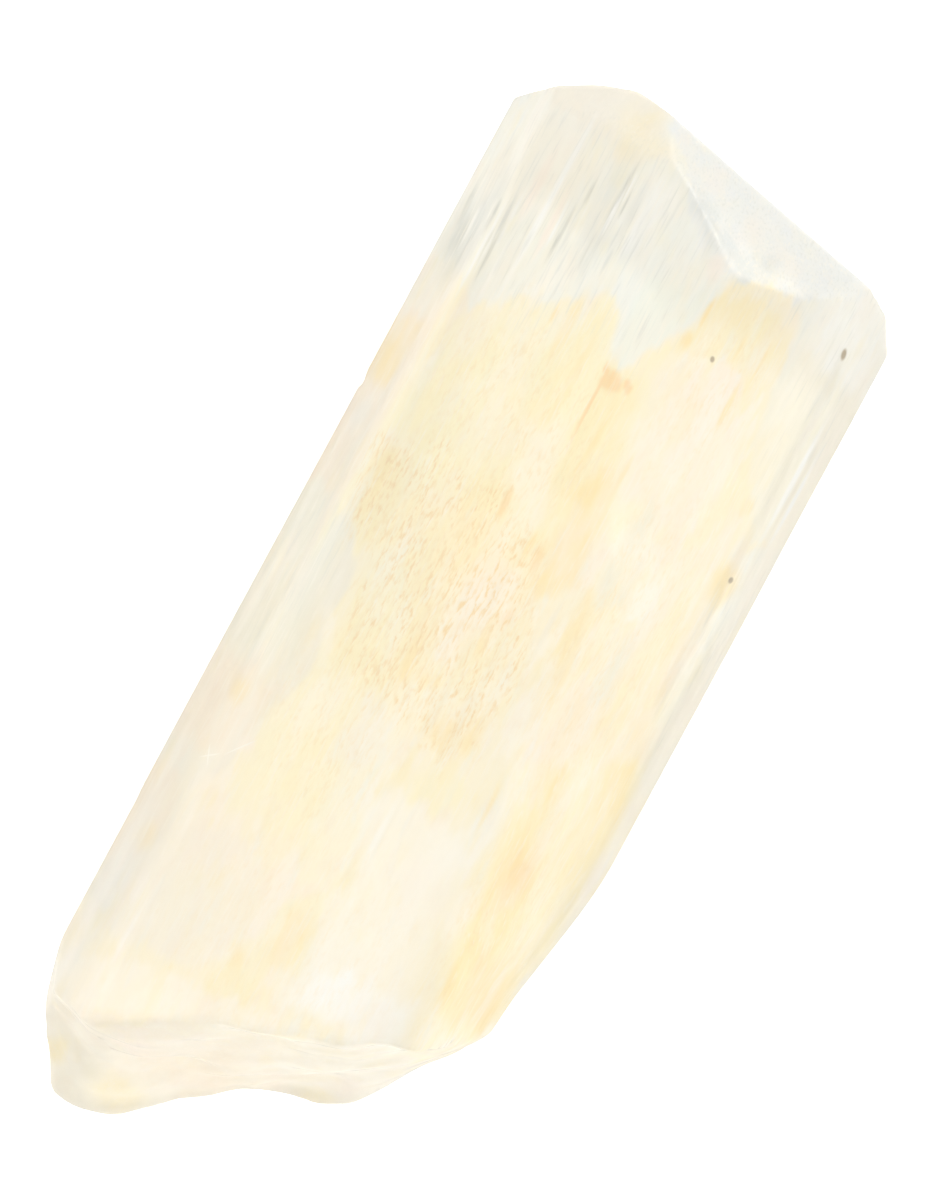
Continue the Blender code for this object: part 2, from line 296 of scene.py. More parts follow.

# Zones, mostly stains with a few of painted light and shade: colour, how strong it is, how soft its border
# is, and the border's corners.
STAIN_AND_PAINTED_LIGHT_ZONES = (
    # the tip: clear and hardly stained
    ("olive", 0.95, 0.18, (
        (12, 8.9), (12.1, 7.4), (11.9, 6.6), (11.2, 6), (11.6, 5.2), (12.4, 4.6), (12.6, 3.9), (13, 2.6),
        (13.7, 2.2), (14, 1.6), (13.3, 1.1), (12.3, 0.8), (11.9, 0.4), (11.9, 0), (12.2, -0.4), (13, -0.8),
        (14, -1.3), (15.2, -1.5), (16.3, -1.75), (16.7, -2.2), (17, -3), (17, -4), (16.6, -4.7), (15.8, -5),
        (14.6, -5), (13, -5.3), (11.2, -5.5), (10.2, -6), (9.7, -6.6), (8.9, -7), (8.2, -8.9), (22, -8.9),
        (22, 8.9),
    )),
    ("pale", 0.7, 0.6, ((15.4, 7.4), (15.4, 4.4), (18.4, 4.3), (19, 5.2), (19.6, 6), (19.4, 7.4))),
    ("cream", 0.5, 0.5, (
        (8.6, -6.6), (11, -5.6), (14, -5.1), (16, -5.4), (16.6, -6.6), (15.6, -8.9), (9, -8.9),
    )),
    ("green", 0.95, 0.15, (
        (11.9, 0.3), (12.8, 0.6), (14.5, 0.9), (16, 1.2), (17.5, 0.9), (18.3, 0.6), (18, -0.2),
        (16.6, -0.3), (16.2, -1), (15.6, -1.3), (14, -1.1), (12.6, -0.5), (11.9, -0.1),
    )),
    ("grey", 1, 0.12, (
        (20.3, 2.8), (19.3, 1.6), (18, 0.7), (17, -0.1), (16.3, -1.3), (16.8, -2.1), (17.1, -3.2),
        (17, -4.3), (17.6, -5.2), (18.3, -6.4), (19.6, -6.4), (22, 2.8),
    )),
    # Painted shade: this zone darkens the tip's grey facet, which the key light brightens.
    ("painted_shade_grey", 0.8, 0.35, (
        (18.6, 0.9), (17.9, 0.3), (17.1, -0.8), (16.8, -2), (16.9, -3), (17.5, -3.2), (17.7, -1.6),
        (18.4, -0.2),
    )),
    ("tan", 0.75, 0.2, (
        (18.5, 3), (18.6, 4.2), (18.9, 4.9), (19.1, 5.8), (18.9, 6.9), (19.4, 7.2), (20.4, 6.4), (22, 6.4),
        (22, 3), (20.4, 2.9), (19.6, 2.6), (19.2, 1.9), (18.9, 1.8), (18.8, 2.4),
    )),
    ("amber", 0.45, 0.4, (
        (18.7, 2.6), (18.8, 3.8), (19.4, 4.6), (20.3, 4.4), (20.6, 3.2), (19.6, 2.9), (19.2, 2.1),
    )),
    ("white", 0.8, 0.5, ((15.4, -5.4), (17.5, -5), (18.5, -6), (18.4, -8.6), (17.2, -8.9), (15, -8.6))),
    # the big yellow stain
    ("yellow", 0.95, 0.25, (
        (5.8, 6.7), (7, 6.5), (9.8, 6.2), (11.3, 5.8), (12.4, 4.6), (12.8, 2.6), (13.9, 1.6), (13.1, 1),
        (12, 0.7), (11.8, 0.6), (11.9, -0.3), (12.6, -0.6), (13.2, -1.2), (12, -1.2), (10, -1.3),
        (8.6, -1.9), (6, -1.5), (4.6, 0.4), (5, 4.4),
    )),
    ("amber", 0.7, 0.3, ((5.8, 6.1), (8.6, 5.9), (9.6, 5.1), (8.6, 4.5), (6, 4.8))),
    ("amber", 0.8, 0.3, ((8.6, 2.6), (12, 2.5), (13.5, 1.9), (13.2, 1.2), (11, 1), (8.4, 1.6))),
    ("amber", 0.85, 0.25, (
        (6, 0.5), (9, 0.7), (11.4, 0.7), (11.8, 0), (11.5, -0.8), (10, -1.2), (6, -1.3),
    )),
    ("pale", 0.6, 0.3, ((6, 1.9), (8.4, 1.7), (9.4, 1.1), (8.4, 0.6), (6, 0.5))),
    # the right faces near the tip
    ("pink", 0.6, 0.4, ((8, -2), (12.6, -1.6), (13.8, -3), (13.4, -4.6), (9.8, -5.2), (7.6, -4.2))),
    ("amber", 0.7, 0.12, (
        (13.1, -1.2), (14.2, -1.6), (15, -1.5), (15.9, -1.8), (16.75, -2), (16.8, -2.7), (17, -3.3),
        (16.8, -4.1), (16, -4.7), (14.9, -5), (13.6, -5), (12.2, -4.6), (13.4, -4), (13.9, -3), (13.5, -2),
    )),
    ("orange", 0.25, 0.25, (
        (14.2, -1.8), (15, -1.6), (16.6, -2.1), (16.9, -3.3), (16.6, -4), (15.6, -3.6), (14.8, -2.8),
    )),
    ("white", 0.7, 0.5, ((15.6, 3), (18.4, 2.4), (18, 0.8), (17.2, -0.6), (16.4, -1.6), (15.4, -0.6))),
    # Painted light: this zone lifts the shade that light turned inside the clear tip leaves on its right
    # side.
    ("pale", 0.6, 0.3, ((16.1, -2.2), (16.8, -2.4), (17.1, -3.4), (16.9, -4.3), (16, -4.6))),
    # the left flank
    ("smoke", 0.9, 0.15, (
        (-8.6, 8.9), (12, 8.9), (12, 7.2), (10.4, 6.9), (8, 6.9), (6.5, 7.1), (3.6, 7.1), (3, 6.8),
        (2.4, 6.1), (1.6, 5.6), (1, 5.15), (0, 5), (-1, 5.1), (-2, 4.9), (-3, 4.7), (-4.2, 4.9), (-5, 5.2),
        (-6.5, 5.3), (-7.3, 5.8), (-8.6, 6.4),
    )),
    ("brown", 0.85, 0.3, ((-7.4, 8.9), (-7.2, 6.4), (-6.4, 5.5), (-4.4, 5.3), (-3.9, 6.6), (-4.2, 8.9))),
    ("sage", 0.85, 0.35, ((-3.6, 8.9), (-3.3, 5.6), (-0.6, 5.6), (1.8, 6.2), (3.1, 7.2), (2.8, 8.9))),
    ("brown", 0.9, 0.2, ((2.9, 8.9), (3.2, 7.4), (6.2, 7.3), (10.2, 7), (10.4, 8.9))),
    ("orange", 0.55, 0.3, ((7.2, 8.9), (7.3, 7.2), (9.9, 7.1), (10, 8.9))),
    # the stippled stain in the middle
    ("amber", 0.6, 0.5, STIPPLED),
    ("orange", 0.3, 0.4, (
        (1.8, 5), (3, 6.6), (5, 6.4), (5.4, 5.6), (4, 4.6), (5.8, 2.6), (2.6, 1.1), (-1.8, 1.4),
        (-1.6, 2.2), (1, 3), (2.4, 4),
    )),
    ("pink", 0.6, 0.4, ((-0.6, 1.4), (2.4, 1.3), (4, 0.9), (3.4, 0.1), (0.6, 0.1), (-0.8, 0.4))),
    ("pale", 0.5, 0.25, ((3.6, 1.1), (4.4, 1.2), (6.6, 0.9), (8, 0.5), (6, 0.2), (4.4, 0.3))),
    ("orange", 0.85, 0.3, (
        (3.4, -0.7), (6, -0.7), (8.4, -0.7), (8.6, -1.3), (7, -1.9), (4.6, -2.1), (3.2, -1.5),
    )),
    ("orange", 0.55, 0.2, (
        (-1.6, -3.1), (0.6, -2.7), (2.4, -2.7), (4.4, -2.6), (4, -3.1), (1.8, -3.4), (0, -3.4),
    )),
    ("pink", 0.7, 0.4, ((-2.2, -3.4), (1.2, -3.6), (1, -5), (-0.8, -5.4), (-2.2, -4.8))),
    ("sage", 0.9, 0.3, ((3.8, -3.3), (5, -2.9), (7, -2.8), (8, -3), (7.5, -3.5), (5.8, -3.9), (4.4, -3.9))),
    ("white", 0.6, 0.25, ((4, -4.2), (5, -4), (5.9, -4.3), (5.2, -4.9), (4.2, -4.8))),
    ("sage", 0.7, 0.3, ((0.6, -4.7), (2.6, -4.4), (4.2, -4.9), (3, -5.3), (0.8, -5.3))),
    ("pink", 0.5, 0.4, ((-1, -6.2), (3, -6.2), (6, -6.6), (5.6, -7.2), (-0.6, -7.2))),
    ("olive", 0.75, 0.25, ((-0.8, -7.5), (2, -7.1), (5, -7.2), (8.4, -7.2), (9, -8.9), (-1.6, -8.9))),
    ("amber", 0.6, 0.4, ((-2.7, 1.8), (-2.4, 4.4), (0.4, 4.6), (1.2, 2.6))),
    # towards the base
    ("yellow", 0.6, 0.4, (
        (-8.8, 5), (-7.2, 5.5), (-4.2, 4.8), (-2, 4.8), (-2.2, 2.8), (-5, 2.2), (-8.8, 1.6),
    )),
    ("tan", 0.6, 0.4, ((-5.6, 2.8), (-2.8, 2.7), (-2.6, 1.8), (-4.2, 1), (-5.4, 1.6))),
    ("yellow", 0.7, 0.25, ((-5.4, -0.2), (-4.4, -0.2), (-3.8, -1.4), (-4.6, -2.5), (-5.4, -2.2))),
    ("tan", 0.75, 0.35, (
        (-15, 7), (-14.7, 3.4), (-13, 2.8), (-11, 2.3), (-10, 3), (-9.6, 4.4), (-9.9, 5.6), (-8, 6),
        (-8.4, 6.8),
    )),
    ("smoke", 0.9, 0.3, ((-14.6, 8.9), (-14.2, 6.9), (-11, 6.6), (-8.4, 6.8), (-8.4, 8.9))),
    ("brown", 0.75, 0.3, ((-12.4, 8.9), (-12.4, 7), (-10.6, 6.8), (-8.6, 7.2), (-8.6, 8.9))),
    ("pale", 0.85, 0.3, (
        (-14.2, 0), (-12, -0.1), (-10, -0.2), (-8, 0.2), (-6, 0.8), (-5.4, -0.2), (-5.8, -2), (-6.2, -3.3),
        (-9, -3.4), (-10.5, -3.8), (-12.9, -3.9), (-13.4, -3.2), (-14, -1.6),
    )),
    ("white", 0.8, 0.3, ((-14, -0.5), (-12.4, -0.5), (-12, -1.6), (-12.6, -2.6), (-13.6, -2.6))),
    ("cream", 0.5, 0.5, (
        (-13.8, -3.4), (-11, -3.3), (-8, -2.9), (-6.6, -3.2), (-7.6, -4), (-9.6, -4.6), (-11.4, -4.8),
        (-13.4, -5),
    )),
    ("yellow", 0.95, 0.25, (
        (-15.2, 2.9), (-14.8, 1.2), (-13.4, 0.8), (-13, 0.1), (-11.4, 0.1), (-10, 0.4), (-10.2, 1),
        (-11, 1.7), (-12.4, 2), (-12.9, 2.6), (-14, 2.8),
    )),
    ("orange", 0.6, 0.4, ((-13.3, 0.2), (-11.6, 0.2), (-10.9, 0.7), (-11.4, 1.4), (-13.2, 1.3))),
    ("amber", 0.7, 0.2, ((-14.6, 1.6), (-13.2, 2), (-13, 2.6), (-14.4, 2.4))),
    ("amber", 0.95, 0.5, (
        (-12.6, -7), (-12.2, -5.7), (-11.4, -4.8), (-10, -4.3), (-8, -4.1), (-6, -4), (-4, -4.2),
        (-2.2, -4.4), (-2.1, -5), (-3.2, -5.6), (-2, -6.4), (-0.6, -6.6), (-0.6, -7.4), (-3, -7.8),
        (-8.8, -7.5),
    )),
    ("orange", 0.35, 0.6, ((-5.4, -4.2), (0.6, -4), (0.8, -7), (-5.4, -7.6))),
    ("orange", 0.3, 0.5, ((0, -5.5), (12, -5.2), (12.6, -6.2), (0, -6.9))),
    ("orange", 1, 0.35, (
        (-12.3, -5.8), (-10.8, -4.8), (-8.4, -4.7), (-6.2, -4.5), (-4.9, -4.7), (-4.7, -5.5), (-6.4, -6.1),
        (-8.2, -6.6), (-10, -7.1), (-12, -7),
    )),
    ("rust", 0.45, 0.3, ((-7.4, -5.2), (-6.4, -4.9), (-5.2, -5), (-5.4, -5.6), (-7.2, -5.8))),
    ("rust", 0.5, 0.4, ((-11.8, -5.9), (-9.4, -5.6), (-8.8, -6), (-9.8, -6.5), (-11.2, -6.6))),
    ("orange", 0.5, 0.3, ((-2.6, -6.6), (-0.8, -6.5), (-0.8, -7.2), (-2.6, -7.6))),
    ("pale", 0.8, 0.25, (
        (-18.6, 8.4), (-18, 6.6), (-17.4, 4.8), (-16.9, 3), (-16.2, 1), (-15.7, -0.4), (-15, -2.2),
        (-14.3, -1.4), (-14.6, 0.2), (-15, 2), (-15.4, 4.5), (-15.9, 6.3), (-16.4, 8.9),
    )),
    ("white", 0.7, 0.4, ((-14.3, -2.4), (-12, -2.4), (-12, -4.3), (-13.8, -4.8))),
    # the break
    ("tan", 0.9, 0.15, (
        (-18.8, 8.9), (-17.9, 5.9), (-17.3, 4), (-16.6, 2), (-15.9, 0.2), (-15.1, -1.8), (-14.3, -4),
        (-13.5, -5.4), (-13.4, -6.8), (-23, -6.8), (-23, 8.9),
    )),
    # The lobe's yellow stain, laid lighter as painted light, to lift the shade that many passes through the
    # thin lobe give it.
    ("straw_and_painted_light", 1, 0.4, ((-19, 1.6), (-19, 4), (-18.7, 7.2), (-20.4, 8.6), (-23.5, 8), (-23.5, 1))),
    ("brown", 0.35, 0.3, ((-18.4, 0.4), (-18.4, 5), (-17.4, 5.2), (-17, 2.6), (-16.6, 0.6))),
    ("pink", 0.7, 0.2, ((-18.6, 4.6), (-17.4, 4.4), (-17.2, 3.8), (-18.4, 3.4))),
    ("pale", 0.6, 0.3, ((-18, -0.2), (-16.6, 0), (-15.2, -2.4), (-14.6, -5.2), (-17.4, -4.4))),
    ("smoke", 0.8, 0.2, ((-15.4, -1.4), (-14.7, -1.6), (-14.2, -3), (-14, -4.2), (-15, -4))),
)

# Small patches: colour, x, y, length, width and strength, then how soft its edge is and its turn in
# degrees where they aren't the usual ones.
PATCHES = (
    ("amber", -20.2, 3.8, 1.4, 2, 0.6, 0.6),
    ("amber", -19.8, 6.5, 1.2, 0.9, 0.8),
    ("pink", -16.9, -1, 0.8, 1.2, 0.5, 0.5, -30),
    ("orange", -12.1, 0.8, 1.5, 0.9, 0.55, 0.6),
    ("orange", -13.4, 2.2, 0.8, 0.5, 0.45, 0.6),
    ("pink", -15.9, -3.6, 0.9, 1, 0.6),
    ("orange", -11.3, 7.3, 1.2, 0.7, 0.5, 0.6),
    ("orange", -4.9, 6.7, 0.9, 0.7, 0.6, 0.6),
    ("pink", -6.5, 5.6, 0.6, 0.6, 0.8),
    ("dark", 6, 7.65, 1.3, 0.5, 0.45, 0.6),
    ("orange", -1.1, 1.8, 2, 0.5, 0.8),
    ("orange", -1.4, 0.9, 0.6, 0.9, 0.7),
    ("rust", 5.5, 1.5, 1.1, 0.25, 0.7),
    ("rust", 2, -0.55, 0.8, 0.35, 0.6),
    ("orange", 1.2, -0.2, 1.6, 0.4, 0.8),
    ("rust", 4.4, -0.5, 1, 0.35, 0.6),
    ("orange", 4.4, -0.05, 1.2, 0.2, 0.8),
    ("orange", -2.8, -0.4, 1.1, 0.8, 0.75),
    ("orange", -2.2, -1.4, 1.8, 0.7, 0.7),
    ("orange", 8.1, 7.65, 1.6, 0.7, 0.7),
    ("pale", 13.7, -5, 1, 0.3, 0.3),
    ("orange", 6.9, -6.9, 1.5, 1, 0.85),
    ("orange", 9.4, -6.3, 0.8, 0.45, 0.8),
    ("rust", 11.1, 0.2, 0.9, 0.8, 0.9, 0.3, 30),
    ("rust", 11.55, 0.6, 0.5, 0.25, 0.9, 0.3, 30),
    ("rust", 11.35, -0.4, 0.4, 0.4, 0.9, 0.3),
    ("pale", 10.6, 5.4, 2.6, 1, 0.5, 0.6, -15),
    ("pink", 19.3, 0.3, 0.9, 0.8, 0.35),
    ("pink", 18.2, -1.7, 1.3, 0.9, 0.4),
    ("pink", 16.6, -1.1, 0.9, 0.6, 0.8),
    ("orange", 4, 6, 2.4, 1, 0.5, 0.6),
    ("orange", 15, -1.65, 1.2, 0.22, 0.8),
    ("orange", 13.6, -1.5, 0.6, 0.3, 0.8),
)

# Thin streaks that run along the crystal, stains and painted light and shade among them: colour, x, y,
# length, width and strength.
STAIN_AND_PAINTED_LIGHT_STREAKS = (
    # Painted light: this pale band lifts the shade along the right flank's steep lower edge.
    ("pale", 4, -7.95, 25, 0.6, 0.8),
    # Painted light: this white band lifts the shade on the left flank's steep outer edge.
    ("white", -14.4, 7.6, 10, 1.1, 0.45),
    ("cream", -17, -2.8, 0.9, 1.5, 0.9),
    ("amber", 9.4, 6.62, 6.4, 0.55, 0.4),
    ("yellow", 4.2, 6.75, 6, 0.45, 0.6),
    ("sage", -0.6, 6.3, 8, 0.6, 0.6),
    # Painted shade: this brown band along the left shoulder darkens the bright line that the rounded edge
    # catches.
    ("brown", 6.8, 6.98, 12.4, 0.45, 0.6),
    # Down to the white row at x 16.2, the thin white rows are painted highlights and the dark and shade
    # rows painted shade: glints and shade lines of the clear tip's striations and its left shoulder. The
    # pink, pale and smoke rows there are stain.
    ("shade", 13.8, 7.1, 4.4, 0.55, 0.6),
    ("dark", 13.6, 7.55, 3.6, 0.95, 0.6),
    ("shade", 13.3, 7.62, 1.7, 0.4, 0.6),
    ("shade", 14.4, 7.85, 1.5, 0.24, 0.5),
    ("shade", 13, 7.15, 1.5, 0.13, 0.9),
    ("dark", 14.9, 7.35, 1.6, 0.2, 0.7),
    ("white", 13.9, 7.38, 1.4, 0.08, 0.7),
    ("smoke", 15.9, 7.5, 2.6, 0.6, 0.6),
    ("shade", 14.6, 6.85, 1.2, 0.14, 0.9),
    ("white", 13.3, 6.62, 3.4, 0.1, 1),
    ("white", 13.4, 6.45, 1.8, 0.07, 0.8),
    ("shade", 13, 6.3, 1.6, 0.1, 0.6),
    ("dark", 14.7, 6.4, 1.6, 0.12, 0.8),
    ("white", 14.6, 6.2, 2, 0.12, 0.7),
    ("white", 12.8, 5.85, 2.2, 0.12, 0.6),
    ("shade", 15, 4.34, 1.9, 0.12, 0.6),
    ("shade", 14.9, 4.38, 0.7, 0.07, 0.6),
    ("dark", 14.9, 4.1, 1, 0.1, 0.5),
    ("dark", 16.8, 3.35, 3.6, 0.9, 0.25),
    ("dark", 14.9, 3.2, 1.6, 0.9, 0.4),
    ("shade", 17.2, 3.08, 2.2, 0.12, 0.9),
    ("white", 16.6, 3.06, 1.9, 0.09, 1),
    ("white", 17.6, 2.92, 1.2, 0.07, 0.9),
    ("shade", 16.9, 2.8, 0.9, 0.08, 0.7),
    ("shade", 16.8, 4.12, 1.2, 0.09, 0.6),
    ("white", 15.8, 3.95, 1.6, 0.08, 0.6),
    ("shade", 15, 3.22, 1.1, 0.09, 0.6),
    ("dark", 14.9, 2.4, 0.9, 0.14, 0.7),
    ("dark", 17.3, 2.45, 2.2, 0.3, 0.4),
    ("white", 15.6, 5.25, 6.2, 0.22, 0.9),
    ("pink", 15, 4.8, 2.2, 0.25, 0.8),
    ("white", 15.3, 4.62, 1.4, 0.1, 0.8),
    ("pink", 16.2, 5.9, 2.6, 0.35, 0.7),
    ("pale", 13, 4, 1.8, 0.4, 0.6),
    ("white", 16.9, 2.05, 2.8, 0.35, 0.6),
    ("white", 16.2, 3, 1, 0.1, 0.8),
    ("white", 11.3, -7.35, 4.2, 0.18, 1),
    ("white", 10.8, -7.7, 3.4, 0.14, 1),
    ("smoke", 11.4, -7.53, 4.4, 0.1, 0.9),
    ("pale", 13.5, -6.9, 2.4, 0.25, 0.7),
    ("orange", 12.2, 2.55, 2.6, 0.4, 0.6),
    ("orange", 10.4, 1.5, 3.4, 0.3, 0.5),
    ("orange", 8.6, -0.3, 4, 0.25, 0.6),
    ("orange", 7.2, -1.2, 2.6, 0.25, 0.7),
    ("orange", 8.4, -1.75, 1.6, 0.16, 0.7),
    ("rust", 10.2, 0.5, 2.2, 0.1, 0.8),
    ("orange", 12.4, 3.15, 0.7, 0.16, 0.8),
    ("orange", 12.4, -3.9, 1.6, 0.16, 0.7),
    ("orange", 14.6, -4.2, 1.6, 0.14, 0.6),
    ("orange", 14.4, -3.3, 1.4, 0.12, 0.5),
    ("white", -14.6, 6.1, 1.9, 0.14, 0.5),
    ("smoke", 2.2, -2, 2.4, 0.2, 0.5),
    ("white", -7.3, -0.2, 2.2, 0.25, 0.6),
    ("orange", -4.4, -3.2, 1.6, 0.16, 0.7),
    ("orange", -2.6, -4.9, 1.4, 0.22, 0.7),
    ("orange", -9.4, -4.9, 3.6, 0.18, 0.7),
    ("smoke", -6.6, -0.35, 3, 0.12, 0.4),
)

# Etched stretches with stippled iron stain: x, y, length, width, strength.
STIPPLE = (
    (-8, -5.6, 9, 3, 0.45),
    (8.6, 2.6, 7, 7, 0.42),
    (12.6, -3.2, 8, 3, 0.3),
    (-4, 3, 8, 4.6, 0.36),
    (3, -4.4, 12, 5, 0.3),
    (-12, 1, 9, 9, 0.18),
)

# Stretches left smooth and clear, where the crystal is least etched: x, y, length, width, strength.
CLEAR = (
    (15.6, 4.4, 7.6, 7.8, 1),
    (14.4, 0.1, 5, 2.4, 1),
    (18.6, -2.2, 5, 10.6, 1),
    (13.8, -6.8, 8, 2.6, 0.8),
    (0, 6.9, 7, 2.4, 0.7),
    (4, -7.6, 9, 1.4, 0.6),
)

# Dark specks of dirt: x, y, length, width and turn in degrees.
SPECKS = (
    (16.15, -6.75, 0.46, 0.2, 12),
    (7, -7.05, 0.26, 0.18, 0),
    (13.6, -2.6, 0.24, 0.17, 20),
)
SPECK_COLOUR = (0.36, 0.29, 0.20, 1.0)

# Hairline scratches: x, y, length and turn in degrees.
SCRATCHES = (
    (-7.6, 6.6, 0.85, 22),
    (-7.55, 6.55, 0.75, -52),
    (-6.75, 5.7, 1.2, -38),
)
SCRATCH_WIDTH = 0.06
SCRATCH_COLOUR = (0.94, 0.91, 0.83, 1.0)

FROSTED = 0.50  # roughness of the etched surface and of the smooth one
POLISHED = 0.32
FROST_VARIES = 0.03
IOR = 1.63
SEE_THROUGH = 0.6  # the rest is cloudy
ABSORBED = {"Color": (0.99, 0.98, 0.94, 1.0), "Density": 9.0}
FINE_STREAK = (1.5, 0.09)  # sizes along and across, finer than the mesh
FLECK = (0.34, 0.10)
FLECK_ROW = (1.5, 0.24)

# --- Light and camera ---

SENSOR = 36.0
LENS = 250.0
VIEW_HEIGHT = 43.8  # millimetres that the picture's height spans at the crystal's outline
OUTLINE_Z = 5.0
VIEW_CENTRE = (2.053, 1.133)
VIEW_TURN = math.radians(-61.6)
FLOOR_SIZE = 1.2
FLOOR_GAP = 0.00004
FLOOR_COLOUR = (0.93, 0.93, 0.93, 1.0)
FLOOR_ROUGHNESS = 0.9
FLOOR_GLOW = 0.45
WHITE = (1.0, 1.0, 1.0, 1.0)
WORLD_STRENGTH = 1.10
KEY_PLACE = (0.50, -0.05, 0.45)  # in metres, as is its size
KEY_SIZE = 0.50
KEY_WATTS = 2.2
INNER_BOUNCES = 10  # so that light turned back inside the crystal isn't lost
LIGHT_LEVEL = (1.07, 1.03, 0.91)  # how brightly red, green and blue show, which the colours allow for


# --- Numbers ---


def smooth(low, high, value):
    """0 at low, 1 at high, level beyond them, and a smooth rise between."""
    share = np.clip((value - low) / (high - low), 0.0, 1.0)
    return share * share * (3.0 - 2.0 * share)


def lattice_noise(points, seed):
    """Smooth noise from -1 to 1 at an array of points, with bumps one unit apart."""
    table = np.random.default_rng(seed).uniform(-1.0, 1.0, 4096)
    cell = np.floor(points).astype(np.int64)
    part = points - cell
    part = part * part * (3.0 - 2.0 * part)
    total = np.zeros(points.shape[:-1])
    for corner in itertools.product((0, 1), repeat=3):
        spot = cell + np.array(corner)
        mixed = (spot[..., 0] * 73856093) ^ (spot[..., 1] * 19349663) ^ (spot[..., 2] * 83492791)
        weight = np.prod(np.where(np.array(corner), part, 1.0 - part), axis=-1)
        total += weight * table[mixed & 4095]
    return total


def rough_noise(points, seed, octaves=3):
    """Lattice noise with finer and weaker noise added to it, from about -1 to 1."""
    total = 0.0
    for octave in range(octaves):
        total = total + lattice_noise(points * 2.1**octave + 7.3 * octave, seed + octave) / 2**octave
    return total / 1.5


def stretched(points, along, across):
    """Points scaled so that noise over them has bumps of these sizes along x and across it."""
    return points / np.array((along, across, across))


# --- The sides ---


def edge_point(index, x, jogs=JOGS):
    """(y, z) of one of the prism's long edges at each x."""
    name = EDGE_NAMES[index % len(EDGE_NAMES)]
    tip, base = (np.array(place) for place in EDGES[name])
    point = base + (tip - base) * ((x - BASE_X) / (TIP_X - BASE_X))[..., None]
    for place, sideways, upward in jogs.get(name, ()):
        jog = smooth(place + JOG_LENGTH / 2, place - JOG_LENGTH / 2, x)
        point = point + np.array((sideways, upward)) * jog[..., None]
    return point


def face_width(index):
    x = np.array(TIP_X)
    return float(np.linalg.norm(edge_point(index + 1, x) - edge_point(index, x)))


def striae(index):
    """Fine growth steps of a face, as its ledges are given, with the slope of each."""
    scatter = np.random.default_rng(STRIA_SEED + index)
    count = int(STRIAE_PER_MM * face_width(index))
    places = scatter.uniform(0.02, 0.98, count)
    heights = scatter.uniform(*STRIA_HEIGHT, count) * scatter.choice((-1.0, 1.0), count)
    starts = scatter.uniform(-24.0, 18.0, count)
    ends = starts + scatter.uniform(*STRIA_LENGTH, count)
    return list(zip(places, heights, starts, ends))


def step_height(steps, slope, width, across, x):
    """Height of a face's steps over its flat."""
    total = np.zeros_like(x)
    for number, (place, height, start, end) in enumerate(steps):
        run = smooth(start, start + LEDGE_FADE, x) * smooth(end, end - LEDGE_FADE, x)
        stray = np.stack((x / 2.3, np.full_like(x, number), np.full_like(x, 0.5)), axis=-1)
        middle = place + LEDGE_WANDER / width * lattice_noise(stray, STRIA_SEED)
        step = smooth(middle - slope / width, middle + slope / width, across)
        total += height * run * (step - across)
    return total


def etched(points):
    """How strongly the surface is etched, from 0 to 1, over the crystal seen from above."""
    spots = ragged(points.reshape(-1, 3), *ETCH_FRAY)
    middle = smooth(-STIPPLED_EDGE, STIPPLED_EDGE, zone_depth(spots, STIPPLED))
    return np.maximum(middle, strongest(spots, STIPPLE, STREAK_EDGE)).reshape(points.shape[:-1])


def low_relief(points):
    """Swells, etch pits and grain, all cut into the surface: depths, as negative heights."""
    depth = SWELL[0] * (lattice_noise(stretched(points, *SWELL[1:]), 21) - 1.0) / 2
    pits = smooth(0.05, 0.75, lattice_noise(stretched(points, *ETCH[1:]), 22))
    depth -= ETCH[0] * pits * (0.25 + etched(points))
    return depth + GRAIN[0] * (rough_noise(stretched(points, *GRAIN[1:]), 24, 2) - 1.0)


def side_points(index, across, x):
    """Points of the prism's side: one row for each row of x, one column for each share across."""
    start = edge_point(index, x)
    end = edge_point(index + 1, x)
    run = (end - start) / np.linalg.norm(end - start, axis=-1, keepdims=True)
    outward = np.stack((run[..., 1], -run[..., 0]), axis=-1)
    flat = start + (end - start) * across[..., None]
    width = face_width(index)
    first, last = edge_point(index, x, {})[..., 0], edge_point(index + 1, x, {})[..., 0]
    straight = (flat[..., 0] - first) / (last - first)
    height = step_height(LEDGES[EDGE_NAMES[index]], LEDGE_SLOPE, width, straight, x)
    height += step_height(striae(index), STRIA_SLOPE, width, straight, x)
    height += low_relief(np.concatenate((x[..., None], flat), axis=-1))
    height *= smooth(0.0, EDGE_CALM, across * width) * smooth(0.0, EDGE_CALM, (1 - across) * width)
    if EDGE_NAMES[index] == "right_keel":
        height = np.minimum(height, 0.0)
    point = flat + outward * height[..., None]
    worn = smooth(WEAR_START_X, WEAR_END_X, x) * smooth(WEAR_START_Y, WEAR_END_Y, point[..., 0])
    return np.stack((x, point[..., 0] + WEAR_DEPTH * worn, point[..., 1]), axis=-1)


def columns():
    """The columns of the side's mesh, face by face: (face, shares of the way across it)."""
    found = []
    for index, gap in enumerate(COLUMN_GAPS):
        count = round(face_width(index) / gap)
        found.append((index, np.arange(count) / count))
    return found


def rounded(points):
    """The side's points, with its long edges worn round, more so towards the break."""
    share = []
    for index, across in columns():
        width = face_width(index)
        near, far = EDGE_ROUNDING[index], EDGE_ROUNDING[(index + 1) % len(EDGE_ROUNDING)]
        share.append(np.maximum(smooth(near, 0.0, across * width), smooth(far, 0.0, (1 - across) * width)))
    share = np.concatenate(share)[:, None] / 2
    worn = smooth(WORN_START_X, WORN_END_X, points[:, :1, :1])
    for count in range(ROUNDING_PASSES + BASE_ROUNDING_PASSES):
        middle = (np.roll(points, 1, axis=1) + np.roll(points, -1, axis=1)) / 2
        points = points + (middle - points) * share * (worn if count >= ROUNDING_PASSES else 1.0)
    return points


# --- The break ---


